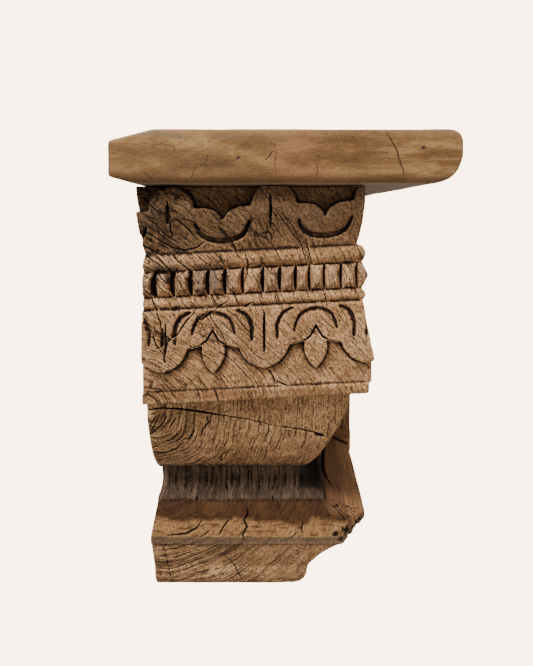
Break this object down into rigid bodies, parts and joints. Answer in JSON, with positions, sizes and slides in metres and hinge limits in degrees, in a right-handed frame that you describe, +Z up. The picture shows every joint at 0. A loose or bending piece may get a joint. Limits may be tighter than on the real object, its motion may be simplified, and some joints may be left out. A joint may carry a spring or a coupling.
{
  "type": "corbel shelf",
  "caption": "Old carved wooden corbel with a small shelf board on top, flat at the back to be fixed to a wall; returned mouldings, sunk leaf carving, waisted neck and a flared foot.",
  "frame": {"origin": "middle of the corbel's flat back face, which lies against the wall", "axes": "+Y into the wall, +Z up, +X to the right of someone who faces the shelf"},
  "size_m": [0.1973, 0.19, 0.2868],
  "materials": {
    "corbel_wood": "aged carved wood, dry and matt, dark in the sunk ground and the cracks, worn light on the raised edges",
    "board_wood": "aged plank, dull satin, end grain and small drying cracks on the front edge"
  },
  "bodies": {
    "root": {"corbel": "corbel_wood", "shelf_board": "board_wood"}
  },
  "joints": []
}
